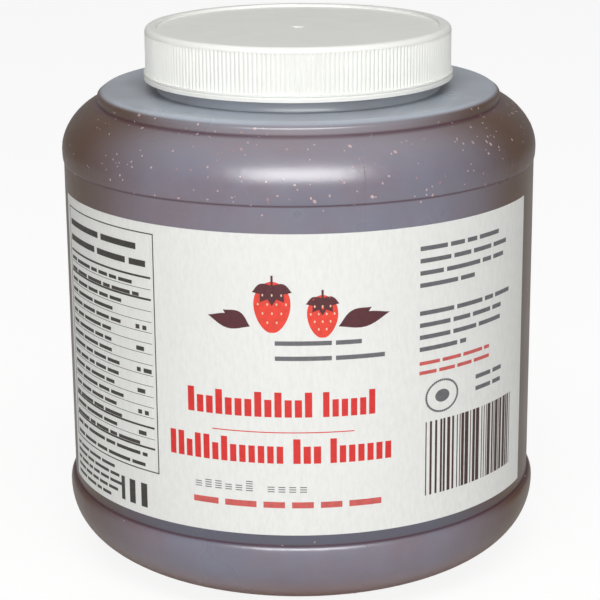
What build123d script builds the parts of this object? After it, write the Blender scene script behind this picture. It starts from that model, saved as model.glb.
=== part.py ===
from build123d import *

import math
import os

# A 1.5 litre wide-mouth jam jar, full and shut, in millimetres.
# The origin is the centre of the ring that it stands on, and +Z is up.
# The front of the wrap label faces -Y.

# Jar: radii
PANEL_RADIUS = 64.0  # straight wall that carries the label
BUMPER_RADIUS = 65.4  # widest part of the rounded base
SHOULDER_RADIUS = 64.4  # widest part of the domed shoulder
RING_RADIUS = 54.5  # raised ring round the top of the shoulder
LEDGE_RADIUS = 52.6  # outer edge of the flat ledge inside the ring
NECK_RADIUS = 37.8
FOOT_RADIUS = 38.0  # outer edge of the ring that the jar stands on
HOLLOW_RADIUS = 34.0  # outer edge of the hollow under the jar

# Jar: heights, each counted from the one before it
HOLLOW_DEPTH = 3.0
BUMPER_WIDEST = 19.0  # above the table
BUMPER_HEIGHT = 21.5  # above the table
PANEL_HEIGHT = 89.2
SHOULDER_WIDEST = 3.0  # above the panel
SHOULDER_HEIGHT = 15.5  # above the panel
RING_FLAT = 2.0  # upright face of the ring
RING_BEVEL = 1.4  # sloping face above it
LEDGE_DISH = 0.6  # fall of the ledge from the ring to the neck
NECK_HEIGHT = 14.7  # brim above the foot of the neck

# Jar: wall and curves
JAR_WALL = 1.3
FOOT_FULLNESS = 0.61  # 0.55 is an ellipse, 1 a square corner
DOME_FULLNESS = 0.46
DOME_END_SLOPE = 14.0  # degrees that the shoulder falls at the ring
ROLL_FULLNESS = 0.60  # lips where the bumper and shoulder meet the panel
HOLLOW_RUN = 8.0  # width of the slope from the hollow to the foot
NECK_BEAD = 0.5  # half-round at the foot of the neck
RING_EDGE = 0.5  # rounding of the ring's edges
INSIDE_SHRINK = 0.6  # radius inside the ring's edges

# Jam
JAM_ABOVE_NECK_FOOT = 2.4  # surface of the jam inside the neck

# Lid
LID_RADIUS = 41.8  # plain band at the bottom
RIB_RADIUS = 41.3  # crests of the ribs
RIB_DEPTH = 0.35
RIB_COUNT = 216
LID_HEIGHT = 13.9
LID_BAND = 1.8  # height of the plain band
LID_GROOVE = 0.25  # half-width of the fine groove round the band
LID_GROOVE_HEIGHT = 1.15
LID_TOP_WALL = 1.6
LID_RECESS = 0.8  # depth of the top panel below the rim
RECESS_RADIUS = 38.1
RIM_HEIGHT = 1.5  # rounded rim above the ribs
RIM_ROUND = 1.35
RECESS_ROUND = 0.35
LID_CLEARANCE = 1.2  # between the neck and the inside of the skirt
GATE_RADIUS = 1.7  # moulding mark at the centre of the top
GATE_HEIGHT = 0.25

# Label
LABEL_THICKNESS = 0.15
LABEL_HEIGHT = 79.4
LABEL_RISE = 2.9  # lower edge above the bumper
LABEL_START = -74.5  # degrees round from the front, + towards +X
LABEL_END = 67.5

# Heights above the table that the pieces share
PANEL_TOP = BUMPER_HEIGHT + PANEL_HEIGHT
RING_FOOT = PANEL_TOP + SHOULDER_HEIGHT
LEDGE_TOP = RING_FOOT + RING_FLAT + RING_BEVEL
NECK_FOOT = LEDGE_TOP - LEDGE_DISH
BRIM = NECK_FOOT + NECK_HEIGHT
LID_TOP = BRIM + LID_TOP_WALL + LID_RECESS
LID_FOOT = LID_TOP - LID_HEIGHT


def curve(start, start_way, end, end_way, fullness):
    """A bend from start to end, both (radius, height), that sets off and arrives along the given ways."""
    reach = [abs(end[0] - start[0]), abs(end[1] - start[1])]
    out = [start[i] + start_way[i] * reach[i] * fullness for i in (0, 1)]
    back = [end[i] - end_way[i] * reach[i] * fullness for i in (0, 1)]
    return Bezier(start, tuple(out), tuple(back), end)


def jar_outline(inset, top):
    """Half of the jar's section, shrunk by inset, closed on the axis and cut off flat at height top."""

    def at(radius, height, outward, upward):
        return (radius - inset * outward, height - inset * upward)

    floor = at(0, HOLLOW_DEPTH, 0, -1)
    hollow = at(HOLLOW_RADIUS - HOLLOW_RUN, HOLLOW_DEPTH, 0, -1)
    foot_in = at(HOLLOW_RADIUS, 0, 0, -1)
    foot_out = at(FOOT_RADIUS, 0, 0, -1)
    bumper = at(BUMPER_RADIUS, BUMPER_WIDEST, 1, 0)
    panel_low = at(PANEL_RADIUS, BUMPER_HEIGHT, 1, 0.3)
    panel_high = at(PANEL_RADIUS, PANEL_TOP, 1, -0.3)
    shoulder = at(SHOULDER_RADIUS, PANEL_TOP + SHOULDER_WIDEST, 1, 0)
    ring_foot = at(RING_RADIUS, RING_FOOT, 1, 0.8)
    ring_high = at(RING_RADIUS, RING_FOOT + RING_FLAT, 1, 0.5)
    ledge_out = at(LEDGE_RADIUS, LEDGE_TOP, 0.5, 1)
    neck_foot = at(NECK_RADIUS + NECK_BEAD, NECK_FOOT, 1, 1)
    neck_low = at(NECK_RADIUS, NECK_FOOT + 2 * NECK_BEAD, 1, 1)
    brim = (neck_low[0], top)

    slope = math.radians(DOME_END_SLOPE)
    inward = (-1, math.tan(slope) * (shoulder[0] - ring_foot[0]) / (ring_foot[1] - shoulder[1]))
    lines = [
        Line(floor, hollow),
        curve(hollow, (1, 0), foot_in, (1, 0), 0.5),
        Line(foot_in, foot_out),
        curve(foot_out, (1, 0), bumper, (0, 1), FOOT_FULLNESS),
        curve(bumper, (0, 1), panel_low, (-1, 0), ROLL_FULLNESS),
        Line(panel_low, panel_high),
        curve(panel_high, (1, 0), shoulder, (0, 1), ROLL_FULLNESS),
        curve(shoulder, (0, 1), ring_foot, inward, DOME_FULLNESS),
        Line(ring_foot, ring_high),
        Line(ring_high, ledge_out),
        Line(ledge_out, neck_foot),
        Line(neck_foot, neck_low),
        Line(neck_low, brim),
        Line(brim, (0, top)),
        Line((0, top), floor),
    ]
    section = make_face(lines)
    rounding = RING_EDGE if inset == 0 else INSIDE_SHRINK
    edges = [
        corner
        for corner in section.vertices()
        if any(math.dist((corner.X, corner.Y), place) < 1e-4 for place in (ring_high, ledge_out))
    ]
    return fillet(edges, rounding)


def turned(section):
    """The solid made by turning a half section, drawn as (radius, height), about the Z axis."""
    return revolve(Plane.XZ * section, axis=Axis.Z).solid()


def make_jar():
    """The jar: one blow-moulded wall from the standing ring to the open brim."""
    outside = turned(jar_outline(0, BRIM))
    inside = turned(jar_outline(JAR_WALL, BRIM))
    return (outside - inside).solid()


def make_jam():
    """The jam, which fills the jar to just inside the neck."""
    return turned(jar_outline(JAR_WALL, NECK_FOOT + JAM_ABOVE_NECK_FOOT))


def ribbed_disc(height):
    """A disc with RIB_COUNT rounded ribs round its edge."""
    pitch = 2 * math.pi / RIB_COUNT
    corners = []
    for rib in range(RIB_COUNT):
        for share, radius in (
            (0.00, RIB_RADIUS - RIB_DEPTH),
            (0.25, RIB_RADIUS - 0.3 * RIB_DEPTH),
            (0.50, RIB_RADIUS),
            (0.75, RIB_RADIUS - 0.3 * RIB_DEPTH),
        ):
            angle = (rib + share) * pitch
            corners.append((radius * math.cos(angle), radius * math.sin(angle)))
    return extrude(make_face(Polyline(*corners, close=True)), height)


def make_lid():
    """The screw lid: plain band, ribbed skirt, rounded rim and a sunken top with its gate mark."""
    inner = NECK_RADIUS + LID_CLEARANCE
    under = BRIM
    rib_foot = LID_FOOT + LID_BAND
    rib_top = LID_TOP - RIM_HEIGHT
    core = RIB_RADIUS - RIB_DEPTH
    recess = LID_TOP - LID_RECESS
    groove = LID_FOOT + LID_GROOVE_HEIGHT
    section = make_face(
        Polyline(
            (0, under),
            (inner, under),
            (inner, LID_FOOT),
            (LID_RADIUS, LID_FOOT),
            (LID_RADIUS, groove - LID_GROOVE),
            (LID_RADIUS - LID_GROOVE, groove),
            (LID_RADIUS, groove + LID_GROOVE),
            (LID_RADIUS, rib_foot),
            (core, rib_foot),
            (core, rib_top),
            (RIB_RADIUS, rib_top),
            (RIB_RADIUS, LID_TOP),
            (RECESS_RADIUS, LID_TOP),
            (RECESS_RADIUS, recess),
            (0, recess),
            close=True,
        )
    )

    def corner(radius, height):
        return section.vertices().sort_by_distance((radius, height))[0]

    section = fillet([corner(RIB_RADIUS, LID_TOP)], RIM_ROUND)
    section = fillet([corner(RECESS_RADIUS, LID_TOP), corner(RECESS_RADIUS, recess)], RECESS_ROUND)
    cap = turned(section)
    ribs = Pos(0, 0, rib_foot) * ribbed_disc(rib_top - rib_foot)
    ribs -= Pos(0, 0, rib_foot) * extrude(Circle(core - RIB_DEPTH), rib_top - rib_foot)
    gate = Pos(0, 0, recess - GATE_HEIGHT) * extrude(Circle(GATE_RADIUS), 2 * GATE_HEIGHT)
    return (cap + ribs + gate).solid()


def make_label():
    """The wrap label: a thin sheet round the front of the panel."""
    start = math.radians(LABEL_START)
    end = math.radians(LABEL_END)
    middle = (start + end) / 2

    def on(radius, angle):
        return (radius * math.sin(angle), -radius * math.cos(angle))

    inner = PANEL_RADIUS
    outer = PANEL_RADIUS + LABEL_THICKNESS
    sheet = make_face(
        [
            ThreePointArc(on(inner, start), on(inner, middle), on(inner, end)),
            Line(on(inner, end), on(outer, end)),
            ThreePointArc(on(outer, end), on(outer, middle), on(outer, start)),
            Line(on(outer, start), on(inner, start)),
        ]
    )
    return Pos(0, 0, BUMPER_HEIGHT + LABEL_RISE) * extrude(sheet, LABEL_HEIGHT).solid()


def main():
    os.makedirs("parts", exist_ok=True)
    pieces = {
        "jar": make_jar(),
        "jam": make_jam(),
        "lid": make_lid(),
        "label": make_label(),
    }
    for name, solid in pieces.items():
        export_step(solid, f"parts/{name}.step")
        box = solid.bounding_box()
        print(f"{name}: {solid.volume / 1000:.1f} cm3, z {box.min.Z:.2f} to {box.max.Z:.2f}")


main()
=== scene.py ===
import math
import random

import bmesh
import bpy
from bpy.props import FloatProperty, FloatVectorProperty, IntProperty, PointerProperty
from mathutils import Matrix, Vector


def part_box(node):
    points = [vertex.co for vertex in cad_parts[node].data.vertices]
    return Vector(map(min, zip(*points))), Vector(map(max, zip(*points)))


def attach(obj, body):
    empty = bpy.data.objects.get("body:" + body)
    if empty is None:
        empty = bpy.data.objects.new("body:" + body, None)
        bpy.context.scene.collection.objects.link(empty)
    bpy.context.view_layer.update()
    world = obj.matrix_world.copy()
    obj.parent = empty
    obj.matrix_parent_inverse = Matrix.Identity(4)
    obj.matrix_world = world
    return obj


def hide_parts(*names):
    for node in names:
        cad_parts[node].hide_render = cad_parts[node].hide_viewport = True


bl_info = {
    "name": "Jam Jar",
    "version": (1, 0, 0),
    "blender": (4, 5, 0),
    "location": "3D View > Sidebar > Jam Jar",
    "description": "Finishes a full plastic jam jar round its packed frame",
    "category": "Add Mesh",
}

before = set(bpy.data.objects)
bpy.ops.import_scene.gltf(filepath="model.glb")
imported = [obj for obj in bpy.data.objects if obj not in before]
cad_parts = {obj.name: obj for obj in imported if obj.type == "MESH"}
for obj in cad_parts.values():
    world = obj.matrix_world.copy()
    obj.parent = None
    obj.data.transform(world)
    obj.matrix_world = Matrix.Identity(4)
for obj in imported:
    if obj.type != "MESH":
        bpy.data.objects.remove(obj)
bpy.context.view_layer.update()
MM = 0.001

# The place of the label, read from the frame
LABEL_LOW, LABEL_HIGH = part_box("label")

# The jar's profile in millimetres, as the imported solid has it
PANEL_R = 64.0
BUMPER_R, BUMPER_WIDEST, BUMPER_TOP = 65.4, 19.0, 21.5
PANEL_TOP = 110.7
SHOULDER_R, SHOULDER_WIDEST = 64.4, 113.7
RING_R, RING_FOOT, RING_TOP = 54.5, 126.2, 128.2
LEDGE_R, LEDGE_Z = 52.6, 129.6
NECK_R, NECK_FOOT, BRIM = 37.8, 129.0, 143.7
WALL = 1.3

LABEL_R = 64.0
LABEL_SHEET = 0.12
LABEL_FROM, LABEL_TO = -74.5, 67.5
LABEL_Z0, LABEL_Z1 = LABEL_LOW[2] / MM, LABEL_HIGH[2] / MM


# ---------------------------------------------------------------- shader maths


class Sock:
    """A node socket whose sums, products and comparisons add Math nodes."""

    def __init__(self, graph, socket):
        self.graph = graph
        self.socket = socket

    def _math(self, operation, *values):
        return self.graph.node("ShaderNodeMath", {"operation": operation}, dict(enumerate(values)))

    def __add__(self, other):
        return self._math("ADD", self, other)

    __radd__ = __add__

    def __sub__(self, other):
        return self._math("SUBTRACT", self, other)

    def __rsub__(self, other):
        return self._math("SUBTRACT", other, self)

    def __mul__(self, other):
        return self._math("MULTIPLY", self, other)

    __rmul__ = __mul__

    def __truediv__(self, other):
        return self._math("DIVIDE", self, other)

    def clamp(self):
        return self.graph.node("ShaderNodeClamp", {}, {0: self})

    def absolute(self):
        return self._math("ABSOLUTE", self)

    def step(self, low, high):
        """0 below low, 1 above high and smooth between; low may be the larger."""
        settings = {"interpolation_type": "SMOOTHSTEP"}
        values = {0: self, 1: min(low, high), 2: max(low, high)}
        ramp = self.graph.node("ShaderNodeMapRange", settings, values)
        return ramp if low < high else 1 - ramp


class Graph:
    """The nodes of one material."""

    def __init__(self, name):
        self.material = bpy.data.materials.new(name)
        self.material.use_nodes = True
        self.tree = self.material.node_tree
        self.tree.nodes.clear()

    def node(self, kind, settings=None, values=None, out=0):
        made = self.tree.nodes.new(kind)
        for key, value in (settings or {}).items():
            setattr(made, key, value)
        for key, value in (values or {}).items():
            if isinstance(value, Sock):
                self.tree.links.new(value.socket, made.inputs[key])
            else:
                made.inputs[key].default_value = value
        return Sock(self, made.outputs[out])

    def coords(self):
        return self.node("ShaderNodeTexCoord", {}, {}, "Object")

    def axis(self, name):
        return self.node("ShaderNodeSeparateXYZ", {}, {0: self.coords()}, name)

    def noise(self, scale, detail=2.0, roughness=0.5, stretch=(1, 1, 1)):
        place = self.node("ShaderNodeMapping", {}, {"Vector": self.coords(), "Scale": stretch})
        values = {"Vector": place, "Scale": scale, "Detail": detail, "Roughness": roughness}
        return self.node("ShaderNodeTexNoise", {}, values, 0)

    def mix(self, factor, first, second):
        settings = {"data_type": "RGBA"}
        return self.node("ShaderNodeMix", settings, {0: factor, 6: first, 7: second}, 2)

    def bump(self, height, distance, strength=1.0):
        values = {"Height": height, "Distance": distance, "Strength": strength}
        return self.node("ShaderNodeBump", {}, values)

    def surface(self, **values):
        sockets = {key.replace("_", " "): value for key, value in values.items()}
        shader = self.node("ShaderNodeBsdfPrincipled", {}, sockets)
        self.node_output(shader)
        return self.material

    def node_output(self, shader):
        out = self.tree.nodes.new("ShaderNodeOutputMaterial")
        self.tree.links.new(shader.socket, out.inputs["Surface"])


def rgba(colour):
    return (*colour[:3], 1.0)


# ---------------------------------------------------------------- finishes


def jar_finish(look):
    """Milky plastic over dark jam: cool grey with reddish patches, with light and shade painted on: a paler
    dome, dark lines in the creases, a dark band above the bumper, dark brown at the sides and back, and warm
    brown at the foot.
    """
    g = Graph("jar_wall")
    x, y, z = g.axis("X"), g.axis("Y"), g.axis("Z")
    cool = rgba(look.wall_cool)
    red = rgba(look.wall_red)
    patches = g.noise(34.0, 3.0, 0.55).step(0.30, 0.76)
    tone = g.mix(patches * 0.8, cool, red)
    cloud = g.noise(90.0, 3.0, 0.6).step(0.3, 0.8)
    tone = g.mix(cloud * 0.3, tone, rgba((0.24, 0.24, 0.30)))
    fine = g.noise(900.0, 2.0, 0.6).step(0.62, 0.78) * patches
    tone = g.mix(fine * 0.35, tone, rgba((0.34, 0.25, 0.26)))
    # Painted light: the upward-facing dome is made paler and bluer, as if lit by the soft box above.
    painted_dome_light = z.step(0.116, 0.128) * 0.35
    tone = g.mix(painted_dome_light, tone, rgba((0.36, 0.38, 0.42)))
    upper = (z.step(0.129, 0.127) * z.step(0.120, 0.126)) * 0.25
    tone = g.mix(upper, tone, rgba((0.33, 0.24, 0.26)))
    front = (y * -1.0 / 0.064)
    # Painted shade: a dark band low on the panel, just above the bumper crease.
    painted_band_shade = z.step(0.0205, 0.0222) * z.step(0.030, 0.026)
    tone = g.mix(painted_band_shade * 0.8, tone, rgba((0.085, 0.09, 0.12)))
    # Painted shade and light: the sides and back turn dark brown, as the wall is shaded there and lit through
    # the jam.
    side = front.step(0.90, 0.42)
    side_shade = (g.noise(25.0, 2.0, 0.5, (1, 1, 0.3)).step(0.2, 0.8) * 0.15 + 0.85) * side
    tone = g.mix(side_shade.clamp(), tone, rgba(look.wall_side_shade))
    bare = z.step(0.1284, 0.1292) * (1.0 - patches * 0.3)
    tone = g.mix(bare, tone, rgba(look.wall_bare))
    # Painted light: a warm brown at the foot, as light coming up through the jam from below would give.
    painted_foot_light = z.step(0.014, 0.002)
    tone = g.mix(painted_foot_light * 0.85, tone, rgba((0.24, 0.12, 0.085)))
    # Painted shade: a dark red line along each crease of the wall.
    for place, width in ((PANEL_TOP, 0.5), (RING_FOOT, 0.7), (BUMPER_TOP, 0.45)):
        line = (z - place * MM).absolute().step(width * MM, 0.0)
        tone = g.mix(line * 0.75, tone, rgba((0.085, 0.035, 0.05)))
    grain = g.noise(1500.0, 2.0, 0.6)
    peel = g.noise(260.0, 2.0, 0.5)
    bump = g.bump(grain * 0.35 + peel, 0.00010, 0.55)
    rough = 0.27 + patches * 0.06
    return g.surface(
        Base_Color=tone, Roughness=rough, Normal=bump, Specular_IOR_Level=0.5, IOR=1.49
    )


def jam_finish(look):
    g = Graph("jam")
    lumps = g.noise(60.0, 4.0, 0.6).step(0.3, 0.7)
    tone = g.mix(lumps, rgba(look.jam_deep), rgba(look.jam_light))
    bump = g.bump(g.noise(160.0, 3.0), 0.0006, 0.6)
    return g.surface(Base_Color=tone, Roughness=0.18 + lumps * 0.1, Normal=bump)


def seed_finish(look):
    g = Graph("seed")
    tint = g.noise(140.0, 1.0).step(0.35, 0.65)
    tone = g.mix(tint, rgba(look.seed_pale), rgba((0.33, 0.22, 0.24)))
    return g.surface(Base_Color=tone, Roughness=0.35 + tint * 0.1)


def lid_finish(look):
    """Moulded white plastic with a fine satin grain, a little greyer in soft patches."""
    g = Graph("lid")
    cloud = g.noise(120.0, 3.0, 0.6)
    tone = g.mix(cloud.step(0.3, 0.75), rgba(look.lid_white), rgba([c * 0.965 for c in look.lid_white]))
    grain = g.bump(g.noise(2600.0, 2.0, 0.6), 0.00003, 0.6)
    return g.surface(Base_Color=tone, Roughness=0.42 + cloud * 0.12, Normal=grain)


def paper_finish(look):
    """Smooth label stock with a faint fibre in it."""
    g = Graph("label")
    fibre = g.noise(1100.0, 3.0, 0.65, (1, 1, 0.35))
    cloud = g.noise(45.0, 2.0)
    tone = g.mix(fibre.step(0.3, 0.75), rgba(look.paper), rgba([c * 0.93 for c in look.paper]))
    tone = g.mix(cloud.step(0.4, 0.7) * 0.3, tone, rgba([c * 0.97 for c in look.paper]))
    bump = g.bump(fibre, 0.00003, 0.5)
    return g.surface(Base_Color=tone, Roughness=0.62 - cloud * 0.1, Normal=bump)


def ink_finish(name, colour, spread=0.85):
    """Ink that is a little uneven in strength."""
    g = Graph(name)
    patch = g.noise(700.0, 2.0).step(0.35, 0.7)
    tone = g.mix(patch, rgba(colour), rgba([c * spread for c in colour]))
    return g.surface(Base_Color=tone, Roughness=0.5 + patch * 0.1)


# ---------------------------------------------------------------- meshes


def put(name, bm, material, replaces=None, smooth=True):
    """Turns a finished bmesh into a piece that rides on the jar."""
    bmesh.ops.remove_doubles(bm, verts=bm.verts, dist=1e-7)
    bmesh.ops.recalc_face_normals(bm, faces=bm.faces)
    for face in bm.faces:
        face.smooth = smooth
    mesh = bpy.data.meshes.new(name)
    bm.to_mesh(mesh)
    bm.free()
    piece = bpy.data.objects.new(name, mesh)
    bpy.context.scene.collection.objects.link(piece)
    mesh.materials.append(material)
    if smooth:
        mesh.set_sharp_from_angle(angle=math.radians(38))
    if replaces:
        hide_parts(replaces)
    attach(piece, "root")
    return piece


def bend(start, start_way, end, end_way, fullness, steps):
    """Points of a bend between two (radius, height) places, without its last point."""
    reach = [abs(end[i] - start[i]) for i in (0, 1)]
    out = [start[i] + start_way[i] * reach[i] * fullness for i in (0, 1)]
    back = [end[i] - end_way[i] * reach[i] * fullness for i in (0, 1)]
    points = []
    for k in range(steps):
        t = k / steps
        s = 1 - t
        points.append(
            tuple(
                s**3 * start[i] + 3 * s * s * t * out[i] + 3 * s * t * t * back[i] + t**3 * end[i]
                for i in (0, 1)
            )
        )
    return points


def rounded(corner, before, after, radius, steps=5):
    """Points of a small curve that rounds one corner of a profile."""
    corner = Vector(corner)
    first = corner + (Vector(before) - corner).normalized() * radius
    last = corner + (Vector(after) - corner).normalized() * radius
    points = []
    for k in range(steps + 1):
        t = k / steps
        points.append(tuple((1 - t) ** 2 * first + 2 * t * (1 - t) * corner + t * t * last))
    return points


def jar_profile(inset, top):
    """The jar's outline from the middle of its underside to the height top, in millimetres."""

    def at(radius, height, outward, upward):
        return (radius - inset * outward, height - inset * upward)

    foot_in, foot_out = at(34, 0, 0, -1), at(38, 0, 0, -1)
    bumper = at(BUMPER_R, BUMPER_WIDEST, 1, 0)
    low = at(PANEL_R, BUMPER_TOP, 1, 0.3)
    high = at(PANEL_R, PANEL_TOP, 1, -0.3)
    shoulder = at(SHOULDER_R, SHOULDER_WIDEST, 1, 0)
    ring_foot = at(RING_R, RING_FOOT, 1, 0.8)
    ring_high = at(RING_R, RING_TOP, 1, 0.5)
    ledge = at(LEDGE_R, LEDGE_Z, 0.5, 1)
    neck = at(NECK_R + 0.5, NECK_FOOT, 1, 1)
    collar = at(NECK_R, NECK_FOOT + 1, 1, 1)
    way = (-1, math.tan(math.radians(14)) * (shoulder[0] - ring_foot[0]) / (ring_foot[1] - shoulder[1]))
    points = [at(0, 3, 0, -1)]
    points += bend(at(26, 3, 0, -1), (1, 0), foot_in, (1, 0), 0.5, 8)
    points += [foot_in]
    points += bend(foot_out, (1, 0), bumper, (0, 1), 0.61, 34)
    points += bend(bumper, (0, 1), low, (-1, 0), 0.6, 10)
    points += [low, high]
    points += bend(high, (1, 0), shoulder, (0, 1), 0.6, 10)[1:]
    points += bend(shoulder, (0, 1), ring_foot, way, 0.46, 30)
    points += [ring_foot]
    points += rounded(ring_high, ring_foot, ledge, 0.5)
    points += rounded(ledge, ring_high, neck, 0.5)
    points += rounded(neck, ledge, collar, 0.25)
    points += [collar, (collar[0], top)]
    return points


def spun(points, steps=240):
    """A bmesh of a profile turned about the jar's axis."""
    bm = bmesh.new()
    verts = [bm.verts.new((0, -radius * MM, height * MM)) for radius, height in points]
    for first, second in zip(verts, verts[1:]):
        bm.edges.new((first, second))
    bmesh.ops.spin(
        bm,
        geom=bm.verts[:] + bm.edges[:],
        cent=(0, 0, 0),
        axis=(0, 0, 1),
        angle=2 * math.pi,
        steps=steps,
        use_merge=True,
    )
    bmesh.ops.remove_doubles(bm, verts=bm.verts, dist=1e-7)
    return bm


def wrap(bm, radius):
    """Bends a flat drawing, x along the wall and y outwards, on to a wall of that radius, in millimetres."""
    for vert in bm.verts:
        angle = vert.co.x / radius
        reach = (radius + vert.co.y) * MM
        vert.co = (reach * math.sin(angle), -reach * math.cos(angle), vert.co.z * MM)


# ---------------------------------------------------------------- the print


class Ink:
    """A flat drawing in one ink, in millimetres along the wall and above the table."""

    def __init__(self, lift):
        self.bm = bmesh.new()
        self.lift = lift

    def bar(self, left, right, low, high):
        size = Matrix.Diagonal((right - left, self.lift, high - low, 1))
        place = Matrix.Translation(((left + right) / 2, self.lift / 2, (low + high) / 2))
        bmesh.ops.create_cube(self.bm, size=1, matrix=place @ size)

    def frame(self, left, right, low, high, line):
        self.bar(left, right, high - line, high)
        self.bar(left, right, low, low + line)
        self.bar(left, left + line, low + line, high - line)
        self.bar(right - line, right, low + line, high - line)

    def blob(self, place, shape, segments=40):
        """A closed patch whose edge is shape(angle), counted from place."""
        made = bmesh.ops.create_circle(self.bm, cap_ends=True, radius=1, segments=segments)
        for k, vert in enumerate(made["verts"]):
            x, z = shape(2 * math.pi * k / segments)
            vert.co = (place[0] + x, 0, place[1] + z)
        faces = list({face for vert in made["verts"] for face in vert.link_faces})
        grown = bmesh.ops.extrude_face_region(self.bm, geom=faces, use_keep_orig=True)
        moved = [item for item in grown["geom"] if isinstance(item, bmesh.types.BMVert)]
        bmesh.ops.translate(self.bm, verts=moved, vec=(0, self.lift, 0))

    def words(self, rng, left, right, low, size, weight=0.62, gap=0.28, word=(3, 9)):
        """A line of plain bars, as long as words are."""
        x = left
        while x < right - size * 0.8:
            wide = min(rng.randint(*word) * size * weight, right - x)
            self.bar(x, x + wide, low, low + size * 0.5)
            x += wide + size * gap * 1.6

    def finish(self, name, material, radius):
        for k in range(-40, 41):
            everything = self.bm.verts[:] + self.bm.edges[:] + self.bm.faces[:]
            bmesh.ops.bisect_plane(
                self.bm, geom=everything, plane_co=(k * 2.2, 0, 0), plane_no=(1, 0, 0), dist=1e-5
            )
        wrap(self.bm, radius)
        return put(name, self.bm, material, smooth=False)


def label_height(share):
    return LABEL_Z0 + (LABEL_Z1 - LABEL_Z0) * share


# ---------------------------------------------------------------- settings


class JarLook(bpy.types.PropertyGroup):
    wall_cool: FloatVectorProperty(
        name="Wall, cool", description="Milky wall over the jam", subtype="COLOR", size=3,
        default=(0.185, 0.182, 0.235),
    )
    wall_red: FloatVectorProperty(
        name="Wall, red", description="Wall where the jam shows through", subtype="COLOR", size=3,
        default=(0.20, 0.145, 0.165),
    )
    # Painted shade: the dark brown laid on the wall's sides and back.
    wall_side_shade: FloatVectorProperty(
        name="Wall, warm", description="Wall at the sides and back", subtype="COLOR", size=3,
        default=(0.088, 0.038, 0.013),
    )
    wall_bare: FloatVectorProperty(
        name="Wall, bare", description="Ledge and neck, with no jam behind", subtype="COLOR", size=3,
        default=(0.42, 0.46, 0.52),
    )
    jam_deep: FloatVectorProperty(
        name="Jam, deep", description="Jam in its hollows", subtype="COLOR", size=3,
        default=(0.10, 0.008, 0.012),
    )
    jam_light: FloatVectorProperty(
        name="Jam, light", description="Jam on its lumps", subtype="COLOR", size=3,
        default=(0.28, 0.03, 0.03),
    )
    seed_pale: FloatVectorProperty(
        name="Seed", description="Seeds against the wall", subtype="COLOR", size=3,
        default=(0.56, 0.41, 0.40),
    )
    seed_count: IntProperty(name="Seeds", description="Seeds that show through the wall", default=520, min=0)


class LidLook(bpy.types.PropertyGroup):
    lid_white: FloatVectorProperty(
        name="Lid", description="White of the lid", subtype="COLOR", size=3, default=(0.86, 0.865, 0.83)
    )


class LabelLook(bpy.types.PropertyGroup):
    paper: FloatVectorProperty(
        name="Paper", description="Label stock", subtype="COLOR", size=3, default=(0.775, 0.78, 0.755)
    )
    red: FloatVectorProperty(
        name="Red", description="Title ink", subtype="COLOR", size=3, default=(0.66, 0.018, 0.014)
    )
    pale_red: FloatVectorProperty(
        name="Pale red", description="Small red print", subtype="COLOR", size=3,
        default=(0.60, 0.10, 0.09),
    )
    maroon: FloatVectorProperty(
        name="Maroon", description="Leaf ink", subtype="COLOR", size=3, default=(0.085, 0.012, 0.018)
    )
    black: FloatVectorProperty(
        name="Black", description="Small print", subtype="COLOR", size=3, default=(0.045, 0.04, 0.035)
    )
    grey: FloatVectorProperty(
        name="Grey", description="Caption and code ink", subtype="COLOR", size=3, default=(0.13, 0.13, 0.14)
    )
    ink_lift: FloatProperty(
        name="Ink lift", description="Thickness of the ink in mm", default=0.02, min=0.005
    )


class StageLook(bpy.types.PropertyGroup):
    key_power: FloatProperty(name="Soft box", description="Soft box above the camera, W", default=7.5, min=0)
    fill_power: FloatProperty(name="Front fill", description="Broad light behind the camera, W", default=12.5)
    world_level: FloatProperty(name="Room", description="Even light from all round", default=0.28, min=0)
    gloss_power: FloatProperty(
        name="Shine", description="Lamp seen only in reflections, W", default=27.0, min=0
    )
    lens: FloatProperty(name="Lens", description="Focal length in mm", default=122.4, min=1)
    pitch: FloatProperty(name="Pitch", description="Downward tilt in degrees", default=16.1)
    roll: FloatProperty(name="Roll", description="Camera roll in degrees", default=-0.45)


# ---------------------------------------------------------------- pieces


class JARMAKE_OT_wall(bpy.types.Operator):
    """Make the blow-moulded wall and its parting line"""

    bl_idname = "jarmake.wall"
    bl_label = "Jar wall"

    def execute(self, context):
        look = context.scene.jar_look
        finish = jar_finish(look)
        outside = jar_profile(0, BRIM)
        inside = jar_profile(WALL, BRIM)
        put("jar_wall", spun(outside + inside[::-1]), finish, replaces="jar")
        self.parting_line(outside, finish)
        return {"FINISHED"}

    def parting_line(self, outside, finish):
        """The fine ridge where the two halves of the mould met."""
        bm = bmesh.new()
        outside = [p for p in outside if p[0] > 40 and p[1] < RING_FOOT]
        for turn in (14.7, 194.7):
            rows = []
            for k, (radius, height) in enumerate(outside):
                before = Vector(outside[max(k - 1, 0)])
                after = Vector(outside[min(k + 1, len(outside) - 1)])
                along = (after - before).normalized()
                out = Vector((along.y, -along.x))
                row = []
                for across, lift in ((-0.16, -0.05), (0, 0.06), (0.16, -0.05), (0, -0.2)):
                    r = radius + out.x * lift
                    z = height + out.y * lift
                    a = math.radians(turn) + across / r
                    row.append(bm.verts.new((r * MM * math.sin(a), -r * MM * math.cos(a), z * MM)))
                rows.append(row)
            for low, high in zip(rows, rows[1:]):
                for i in range(4):
                    j = (i + 1) % 4
                    bm.faces.new((low[i], low[j], high[j], high[i]))
            bm.faces.new(rows[0])
            bm.faces.new(rows[-1])
        put("parting_line", bm, finish)


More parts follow.
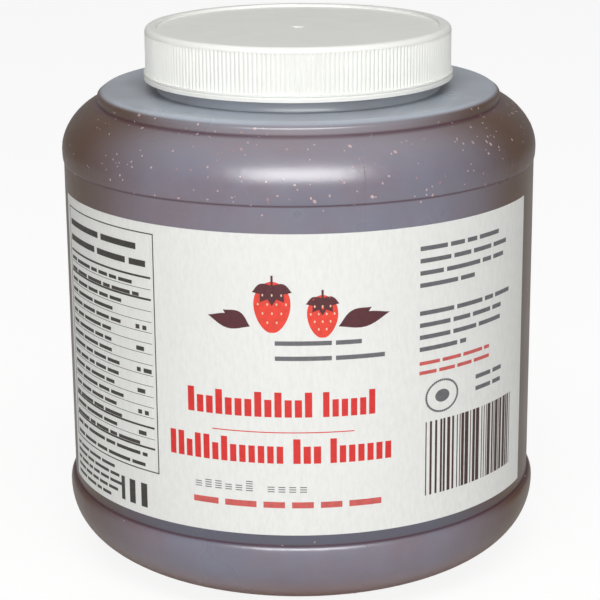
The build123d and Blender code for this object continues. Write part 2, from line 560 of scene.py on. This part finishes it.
class JARMAKE_OT_jam(bpy.types.Operator):
    """Make the jam, which reaches into the wall, and the seeds that show through it"""

    bl_idname = "jarmake.jam"
    bl_label = "Jam and seeds"

    def execute(self, context):
        look = context.scene.jar_look
        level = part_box("jam")[1][2] / MM
        body = jar_profile(WALL - 0.4, level)
        put("jam_fill", spun(body + [(0, level)], 160), jam_finish(look), replaces="jam")
        self.seeds(look)
        return {"FINISHED"}

    def seeds(self, look):
        """Pale flecks pressed against the wall, in loose clusters, most of them on the shoulder."""
        rng = random.Random(31)
        outside = [p for p in jar_profile(0, BRIM) if p[0] > 45]
        spans = [(a, b) for a, b in zip(outside, outside[1:]) if a[1] > 15 and b[1] < RING_TOP + 0.5]
        weights = [math.dist(a, b) * (3.2 if a[1] >= PANEL_TOP else 0.5) for a, b in spans]
        clusters = [(rng.uniform(0, 2 * math.pi), rng.uniform(PANEL_TOP, RING_FOOT)) for _ in range(26)]
        bm = bmesh.new()
        made = 0
        while made < look.seed_count:
            a, b = rng.choices(spans, weights)[0]
            share = rng.random()
            radius = a[0] + (b[0] - a[0]) * share
            height = a[1] + (b[1] - a[1]) * share
            angle = rng.uniform(0, 2 * math.pi)
            near = min(
                math.hypot(math.remainder(angle - c[0], 2 * math.pi) * 60, (height - c[1]) * 1.4)
                for c in clusters
            )
            if rng.random() > 0.25 + 0.75 * math.exp(-((near / 9) ** 2)):
                continue
            along = Vector((b[0] - a[0], b[1] - a[1])).normalized()
            out = Vector((along.y * math.sin(angle), -along.y * math.cos(angle), -along.x))
            spot = Vector((radius * math.sin(angle), -radius * math.cos(angle), height)) * MM
            size = rng.uniform(0.15, 0.30) if rng.random() < 0.85 else rng.uniform(0.30, 0.48)
            turn = out.to_track_quat("Z", "Y").to_matrix().to_4x4()
            spin = Matrix.Rotation(rng.uniform(0, math.pi), 4, "Z")
            shape = Matrix.Diagonal((size * 1.35 * MM, size * MM, 0.05 * MM, 1))
            bmesh.ops.create_icosphere(
                bm, subdivisions=1, radius=1, matrix=Matrix.Translation(spot) @ turn @ spin @ shape
            )
            made += 1
        put("seeds", bm, seed_finish(look))


class JARMAKE_OT_lid(bpy.types.Operator):
    """Finish the screw lid"""

    bl_idname = "jarmake.lid"
    bl_label = "Lid"

    def execute(self, context):
        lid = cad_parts["lid"]
        lid.data.materials.clear()
        lid.data.materials.append(lid_finish(context.scene.lid_look))
        return {"FINISHED"}


class JARMAKE_OT_label(bpy.types.Operator):
    """Make the wrap label and everything printed on it"""

    bl_idname = "jarmake.label"
    bl_label = "Label"

    def execute(self, context):
        look = context.scene.label_look
        self.lift = look.ink_lift
        self.sheet(look)
        self.panel_of_facts(look)
        self.fruit(look)
        self.titles(look)
        self.right_column(look)
        return {"FINISHED"}

    def ink(self):
        return Ink(self.lift)

    def lay(self, ink, name, material):
        ink.finish(name, material, LABEL_R + LABEL_SHEET)

    def sheet(self, look):
        bm = bmesh.new()
        left, right = (math.radians(a) * LABEL_R for a in (LABEL_FROM, LABEL_TO))
        size = Matrix.Diagonal((right - left, LABEL_SHEET, LABEL_Z1 - LABEL_Z0, 1))
        place = Matrix.Translation(((left + right) / 2, LABEL_SHEET / 2, (LABEL_Z0 + LABEL_Z1) / 2))
        bmesh.ops.create_cube(bm, size=1, matrix=place @ size)
        steps = 130
        for k in range(1, steps):
            at = left + (right - left) * k / steps
            bmesh.ops.bisect_plane(
                bm, geom=bm.verts[:] + bm.edges[:] + bm.faces[:], plane_co=(at, 0, 0),
                plane_no=(1, 0, 0), dist=1e-5,
            )
        wrap(bm, LABEL_R)
        put("label_sheet", bm, paper_finish(look), replaces="label")

    def panel_of_facts(self, look):
        """The ruled box at the left, with the small print and the large mark under it."""
        rng = random.Random(5)
        ink = self.ink()
        left, right = -81.0, -39.2
        low, high = label_height(0.158), label_height(0.968)
        ink.frame(left, right, low, high, 0.32)
        rows = 18
        pitch = (high - low - 12.5) / rows
        top = high - 12.0
        ink.words(rng, left + 1.6, -43.0, high - 4.9, 3.3, word=(5, 9))
        ink.words(rng, left + 1.6, -42.0, high - 9.1, 3.3, word=(6, 9))
        thick = {0, 2, 14, 16}
        for row in range(rows):
            line = top - row * pitch
            if row < rows - 1:
                weight = 0.55 if row in thick else 0.14
                ink.bar(left + 1.2, right - 1.2, line, line + weight)
            stop = right - 12 if row > 1 and row < 15 else right - 3
            ink.words(rng, left + 1.6, stop - rng.uniform(0, 5), line - pitch * 0.78, 1.9, 0.55)
            if 3 < row < 15 and row % 2 == 0:
                ink.words(rng, right - 6.8, right - 1.4, line - pitch * 0.8, 2.3, 0.6, word=(1, 2))
        for row in range(5):
            stop = (-56.5, -54.5, -53.0, -53.5, -57.0)[row]
            ink.words(rng, left + 0.5, stop, label_height(0.127 - 0.0265 * row), 1.7, 0.5)
        self.lay(ink, "print_facts", ink_finish("ink_black", look.black))
        mark = self.ink()
        base = label_height(0.028)
        for start, stop, tall in ((-53.6, -52.2, 6.6), (-50.2, -48.0, 6.6), (-45.8, -43.6, 6.6)):
            mark.bar(start, stop, base, base + tall)
        self.lay(mark, "print_mark", ink_finish("ink_mark", look.black))

    def fruit(self, look):
        """A pair of berries with leaves, in the space above the title."""

        def berry(size):
            def edge(angle):
                x, z = math.cos(angle), math.sin(angle)
                taper = 0.60 + 0.40 * (0.5 + 0.5 * z) ** 0.8
                return (size * x * taper * 0.98, size * (1.18 * z - 0.10 * abs(x)))

            return edge

        def leaf(length, width, turn):
            def edge(angle):
                along = (1 - math.cos(angle)) / 2
                across = width * math.sin(angle) * math.sin(math.pi * min(along * 0.92 + 0.04, 1))
                x, z = along * length, across
                return (
                    x * math.cos(turn) - z * math.sin(turn),
                    x * math.sin(turn) + z * math.cos(turn),
                )

            return edge

        red = self.ink()
        heart = [(-7.0, label_height(0.765), 5.6), (5.6, label_height(0.735), 4.7)]
        for x, z, size in heart:
            red.blob((x, z), berry(size), 48)
        self.lay(red, "print_berries", ink_finish("ink_berry", (0.78, 0.045, 0.022)))
        def dot(angle):
            return (0.22 * math.cos(angle), 0.34 * math.sin(angle))

        dots = Ink(self.lift * 1.6)
        for x, z, size in heart:
            for row in range(4):
                for k in range(3 + (row % 2)):
                    across = (k - (2 + row % 2) / 2) * size * 0.42
                    up = size * (0.55 - 0.42 * row)
                    if abs(across) < size * (0.78 - 0.14 * row):
                        dots.blob((x + across, z + up), dot, 10)
        self.lay(dots, "print_berry_seeds", ink_finish("ink_seed", (0.82, 0.55, 0.38)))
        green = Ink(self.lift * 1.3)
        for x, z, size in heart:
            for k in range(5):
                sepal = leaf(size * 0.95, size * 0.24, math.radians(200 + 35 * k))
                green.blob((x, z + size * 1.0), sepal, 24)
            green.bar(x - 0.28, x + 0.28, z + size * 0.9, z + size * 1.45)
        for turn, length in ((12, 17.0), (28, 12.0)):
            green.blob((9.6, label_height(0.70)), leaf(length * 0.8, 1.9, math.radians(turn)), 32)
        for turn, length in ((168, 14.0), (150, 10.0)):
            green.blob((-12.6, label_height(0.70)), leaf(length * 0.8, 1.9, math.radians(turn)), 32)
        self.lay(green, "print_leaves", ink_finish("ink_maroon", look.maroon))

    def titles(self, look):
        """The caption, the two red title lines with the rule between them, the code and the last line."""
        rng = random.Random(11)
        grey = self.ink()
        grey.words(rng, -6.4, 15.5, label_height(0.640), 2.3, 0.62, word=(9, 11))
        grey.words(rng, -6.4, 21.6, label_height(0.590), 2.3, 0.62, word=(7, 12))
        self.lay(grey, "print_caption", ink_finish("ink_caption", look.grey))

        red = self.ink()
        self.title(red, rng, -29.7, 3.0, label_height(0.402))
        self.title(red, rng, 5.6, 19.2, label_height(0.402))
        red.bar(-23.0, 13.6, label_height(0.349), label_height(0.349) + 0.26)
        self.title(red, rng, -35.2, -4.4, label_height(0.246))
        self.title(red, rng, -2.0, 5.2, label_height(0.246))
        self.title(red, rng, 7.4, 23.6, label_height(0.246))
        self.lay(red, "print_title", ink_finish("ink_red", look.red, 0.9))

        pale = self.ink()
        pale.words(rng, -28.6, 20.8, label_height(0.094), 3.3, 0.42, 0.34, word=(4, 7))
        self.lay(pale, "print_tagline", ink_finish("ink_pale_red", look.pale_red))

        code = self.ink()
        for start, count in ((-28.0, 6), (-8.6, 4)):
            for k in range(count):
                x = start + k * 2.75
                z = label_height(0.148)
                for step in range(rng.randint(3, 5)):
                    code.bar(x, x + 1.75, z + step * 0.62, z + step * 0.62 + 0.24)
        self.lay(code, "print_code", ink_finish("ink_code", look.grey))

    def title(self, ink, rng, left, right, low):
        """A row of plain upright tiles, the first of them taller."""
        count = max(1, round((right - left + 0.6) / 2.5))
        pitch = (right - left + 0.6) / count
        for k in range(count):
            high = 6.6 if k == 0 or rng.random() < 0.2 else 4.6
            ink.bar(left + k * pitch, left + (k + 1) * pitch - 0.75, low, low + high)

    def right_column(self, look):
        """Two blocks of small print, a red note, a ring mark and the bar code."""
        rng = random.Random(23)
        ink = self.ink()
        for share in (0.918, 0.878, 0.838, 0.798, 0.706, 0.666, 0.626, 0.586):
            short = 16 if share in (0.798, 0.586) else 0
            stop = 66.0 - short - rng.uniform(0, 6)
            ink.words(rng, 31.4, stop, label_height(share), 2.3, 0.52, word=(3, 10))
        for share in (0.448, 0.408):
            ink.words(rng, 50.5, 62.0, label_height(share), 2.3, 0.55, word=(2, 6))
        self.lay(ink, "print_small", ink_finish("ink_small", look.grey))
        note = self.ink()
        for share in (0.540, 0.508):
            note.words(rng, 31.4, 56.0, label_height(share), 1.9, 0.55, word=(5, 8))
        self.lay(note, "print_note", ink_finish("ink_note", look.pale_red))
        self.ring_mark(look)
        self.bar_code(look, rng)

    def ring_mark(self, look):
        ring = self.ink()
        middle = label_height(0.425)
        for k in range(48):
            a = 2 * math.pi * k / 48
            ring.blob(
                (38.6 + 5.1 * math.cos(a), middle + 4.2 * math.sin(a)),
                lambda b: (0.34 * math.cos(b), 0.34 * math.sin(b)),
                8,
            )
        ring.blob((38.6, middle), lambda a: (2.3 * math.cos(a), 1.7 * math.sin(a)), 24)
        self.lay(ring, "print_ring", ink_finish("ink_ring", look.grey))

    def bar_code(self, look, rng):
        bars = self.ink()
        x = 33.4
        low, high = label_height(0.092), label_height(0.345)
        while x < 68.0:
            wide = rng.choice((0.33, 0.33, 0.66, 0.66, 1.0, 1.3))
            bars.bar(x, x + wide, low, high)
            x += wide + rng.choice((0.33, 0.33, 0.66, 0.66, 1.0))
        self.lay(bars, "print_bars", ink_finish("ink_bars", (0.055, 0.022, 0.018)))


class JARMAKE_OT_stage(bpy.types.Operator):
    """Make the floor, the lights, the room and the camera"""

    bl_idname = "jarmake.stage"
    bl_label = "Stage"

    def execute(self, context):
        look = context.scene.stage_look
        self.floor()
        self.lamp("soft_box", look.key_power, (0.9, 0.42), 57, 1.2, False)
        self.lamp("shine", look.gloss_power, (1.0, 0.5), 38, 1.2, True)
        self.lamp("front_fill", look.fill_power, (1.3, 1.0), 12, 1.6, False)
        self.room(context.scene, look)
        self.camera(context.scene, look)
        context.scene.view_settings.view_transform = "Standard"
        return {"FINISHED"}

    def floor(self):
        g = Graph("floor")
        seen = g.node("ShaderNodeLightPath", {}, {}, "Is Camera Ray")
        plain = g.node("ShaderNodeBsdfDiffuse", {}, {"Color": (0.82, 0.82, 0.81, 1)})
        glow = g.node("ShaderNodeEmission", {}, {"Color": (1, 1, 1, 1), "Strength": 1.07})
        shader = g.node("ShaderNodeMixShader", {}, {0: seen * 0.82, 1: plain, 2: glow})
        g.node_output(shader)
        bm = bmesh.new()
        bmesh.ops.create_grid(bm, x_segments=1, y_segments=1, size=6.0)
        mesh = bpy.data.meshes.new("floor")
        bm.to_mesh(mesh)
        bm.free()
        mesh.materials.append(g.material)
        floor = bpy.data.objects.new("floor", mesh)
        bpy.context.scene.collection.objects.link(floor)

    def lamp(self, name, power, size, elevation, distance, glossy):
        data = bpy.data.lights.new(name, "AREA")
        data.shape = "RECTANGLE"
        data.size, data.size_y = size
        data.energy = power
        lamp = bpy.data.objects.new(name, data)
        a = math.radians(elevation)
        aim = Vector((0, 0, 0.08))
        lamp.location = aim + Vector((0, -math.cos(a), math.sin(a))) * distance
        lamp.rotation_euler = (aim - lamp.location).to_track_quat("-Z", "Y").to_euler()
        lamp.visible_glossy = glossy
        lamp.visible_diffuse = not glossy
        bpy.context.scene.collection.objects.link(lamp)

    def room(self, scene, look):
        world = bpy.data.worlds.new("room")
        scene.world = world
        world.use_nodes = True
        tree = world.node_tree
        tree.nodes.clear()
        path = tree.nodes.new("ShaderNodeLightPath")
        lit = tree.nodes.new("ShaderNodeBackground")
        lit.inputs["Color"].default_value = (1, 1, 1, 1)
        lit.inputs["Strength"].default_value = look.world_level
        seen = tree.nodes.new("ShaderNodeBackground")
        seen.inputs["Color"].default_value = (1, 1, 1, 1)
        seen.inputs["Strength"].default_value = 1.0
        mix = tree.nodes.new("ShaderNodeMixShader")
        out = tree.nodes.new("ShaderNodeOutputWorld")
        tree.links.new(path.outputs["Is Camera Ray"], mix.inputs[0])
        tree.links.new(lit.outputs[0], mix.inputs[1])
        tree.links.new(seen.outputs[0], mix.inputs[2])
        tree.links.new(mix.outputs[0], out.inputs["Surface"])

    def camera(self, scene, look):
        data = bpy.data.cameras.new("camera")
        data.lens = look.lens
        data.sensor_width = 36
        camera = bpy.data.objects.new("camera", data)
        scene.collection.objects.link(camera)
        tilt = Matrix.Rotation(math.radians(90 - look.pitch), 4, "X")
        roll = Matrix.Rotation(math.radians(look.roll), 4, "Z")
        camera.matrix_world = Matrix.Translation((0, -0.5485, 0.2269)) @ tilt @ roll
        scene.camera = camera


class JARMAKE_PT_panel(bpy.types.Panel):
    bl_label = "Jam Jar"
    bl_idname = "JARMAKE_PT_panel"
    bl_space_type = "VIEW_3D"
    bl_region_type = "UI"
    bl_category = "Jam Jar"

    def draw(self, context):
        for operator in OPERATORS:
            self.layout.operator(operator.bl_idname)
        for look in LOOKS:
            settings = getattr(context.scene, look)
            for name in settings.bl_rna.properties.keys():
                if name not in ("rna_type", "name"):
                    self.layout.prop(settings, name)


OPERATORS = (
    JARMAKE_OT_wall,
    JARMAKE_OT_jam,
    JARMAKE_OT_lid,
    JARMAKE_OT_label,
    JARMAKE_OT_stage,
)
LOOKS = {"jar_look": JarLook, "lid_look": LidLook, "label_look": LabelLook, "stage_look": StageLook}


def register():
    for group in LOOKS.values():
        bpy.utils.register_class(group)
    for operator in (*OPERATORS, JARMAKE_PT_panel):
        bpy.utils.register_class(operator)
    for name, group in LOOKS.items():
        setattr(bpy.types.Scene, name, PointerProperty(type=group))


def unregister():
    for name in LOOKS:
        delattr(bpy.types.Scene, name)
    for operator in (JARMAKE_PT_panel, *reversed(OPERATORS)):
        bpy.utils.unregister_class(operator)
    for group in LOOKS.values():
        bpy.utils.unregister_class(group)


def main():
    register()
    for operator in OPERATORS:
        group, name = operator.bl_idname.split(".")
        getattr(getattr(bpy.ops, group), name)()


if __name__ == "__main__":
    main()
